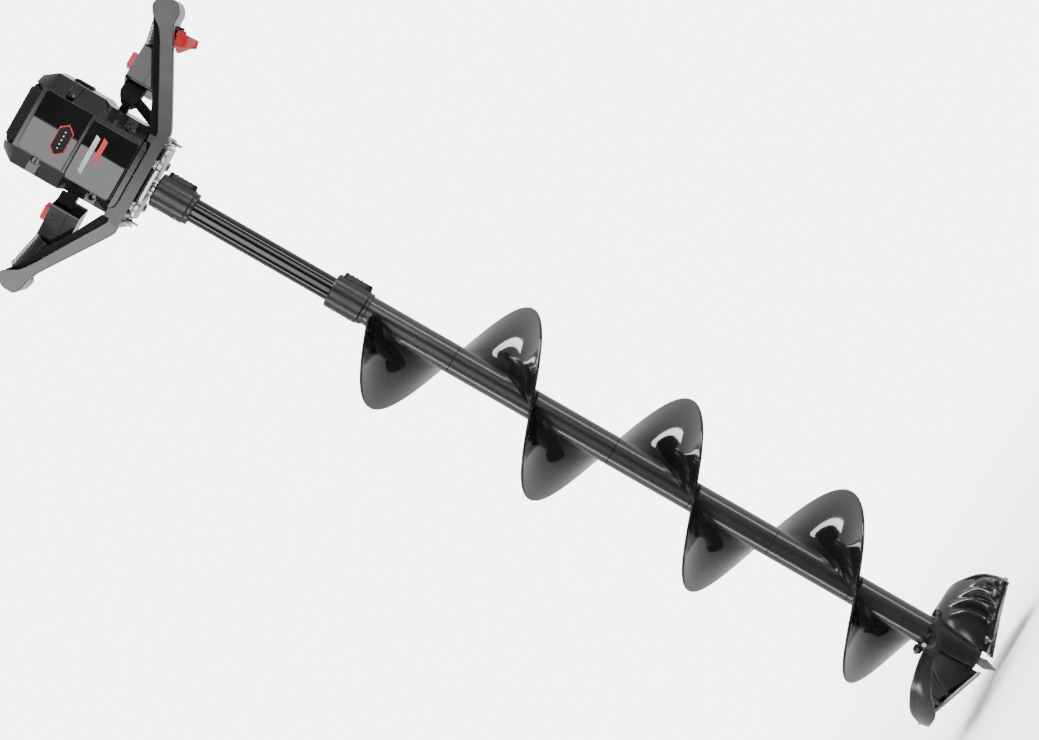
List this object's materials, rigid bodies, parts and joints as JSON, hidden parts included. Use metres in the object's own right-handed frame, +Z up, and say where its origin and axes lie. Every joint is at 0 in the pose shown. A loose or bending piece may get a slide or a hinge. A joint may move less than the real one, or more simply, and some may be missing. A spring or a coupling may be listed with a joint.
{
  "type": "ice fishing auger",
  "caption": "Battery-powered ice auger: a boxy powerhead with swept bow handles, a straight extension tube and a helical-flight auger ending in a bladed cutting head.",
  "frame": {"origin": "tip of the centre point, on the auger's axis", "axes": "+Z up along the auger's axis, -Y the front of the powerhead, +X its trigger side"},
  "size_m": [0.387, 0.194, 1.2965],
  "materials": {
    "housing": "satin",
    "panel": "gloss",
    "cap": "matte",
    "frame": "satin",
    "grip": "matte",
    "red": "satin",
    "steel": "brushed",
    "zinc": "bright zinc",
    "black_tube": "gloss",
    "collar": "satin",
    "flight": "gloss",
    "aluminium": "cast",
    "copper": "enamelled wire",
    "board": "solder mask",
    "cell": "sleeved"
  },
  "bodies": {
    "powerhead": {"housing_front": "housing", "housing_rear": "housing", "lower_panel": "panel", "shell_screws": "zinc", "battery_well": "housing", "bay_contacts": "copper", "gearbox_case": "aluminium", "gearbox_cover": "aluminium", "motor_can": "aluminium", "motor_stator": "steel", "motor_windings": "copper", "controller_board": "board", "bearings": "steel", "shaft_seal": "grip", "handle_frame": "frame", "base_plate": "steel", "frame_bolts": "zinc", "left_grip": "grip", "right_grip": "grip", "left_box": "frame", "left_box_cover": "frame", "right_box": "frame", "right_box_cover": "frame", "right_elbow": "cap", "trigger_pin": "steel", "trigger_spring": "steel", "trigger_lugs": "steel", "trigger_switch": "cap", "reverse_spring": "steel", "safety_spring": "steel"},
    "auger": {"output_spindle": "steel", "output_gear": "steel", "upper_collar": "collar", "lower_collar": "collar", "cross_bolts": "zinc", "extension_tube": "black_tube", "core_tube": "black_tube", "flight_section_1": "flight", "flight_section_2": "flight", "flight_section_3": "flight", "flight_section_4": "flight", "flight_section_5": "flight", "flight_section_6": "flight", "flight_section_7": "flight", "cutting_head": "flight", "right_blade": "steel", "left_blade": "steel", "blade_screws": "zinc", "centre_point": "steel"},
    "layshaft": {"layshaft": "steel", "layshaft_gear": "steel"},
    "rotor": {"motor_rotor": "steel", "motor_shaft": "steel"},
    "trigger": {"trigger": "red"},
    "reverse_button": {"reverse_button": "red"},
    "safety_button": {"safety_button": "red"},
    "battery": {"battery_case": "housing", "battery_cap": "cap", "battery_cells": "cell"},
    "latch": {"battery_latch": "cap"}
  },
  "joints": [
    {"name": "auger_spin", "type": "hinge", "parent": "powerhead", "child": "auger", "pos_m": [0, 0, 1.1], "axis": [0, 0, 1], "continuous": true},
    {"name": "layshaft_spin", "type": "hinge", "parent": "powerhead", "child": "layshaft", "pos_m": [-0.015, 0.02598, 1.17], "axis": [0, 0, 1], "continuous": true},
    {"name": "rotor_spin", "type": "hinge", "parent": "powerhead", "child": "rotor", "pos_m": [0, 0, 1.2], "axis": [0, 0, 1], "continuous": true},
    {"name": "trigger_squeeze", "type": "hinge", "parent": "powerhead", "child": "trigger", "pos_m": [0.16662, 0.04191, 1.18714], "axis": [0.9318, 0.2849, 0.225], "range_deg": [0, 15], "stiffness_Nm_per_rad": 0.6, "springref_deg": -11.46},
    {"name": "reverse_press", "type": "slide", "parent": "powerhead", "child": "reverse_button", "axis": [0, 0, -1], "range_m": [0, 0.004], "stiffness_N_per_m": 800, "springref_m": -0.003, "deforming": ["reverse_spring"]},
    {"name": "safety_press", "type": "slide", "parent": "powerhead", "child": "safety_button", "axis": [0, 0, -1], "range_m": [0, 0.004], "stiffness_N_per_m": 800, "springref_m": -0.003, "deforming": ["safety_spring"]},
    {"name": "battery_slide", "type": "slide", "parent": "powerhead", "child": "battery", "axis": [0, 0, 1], "range_m": [0, 0.08]},
    {"name": "latch_press", "type": "slide", "parent": "powerhead", "child": "latch", "axis": [-1, 0, 0], "range_m": [0, 0.002], "stiffness_N_per_m": 1500, "springref_m": -0.002}
  ],
  "couplings": [
    {"joint": "layshaft_spin", "follows": "auger_spin", "ratio": -4},
    {"joint": "rotor_spin", "follows": "auger_spin", "ratio": 16}
  ]
}
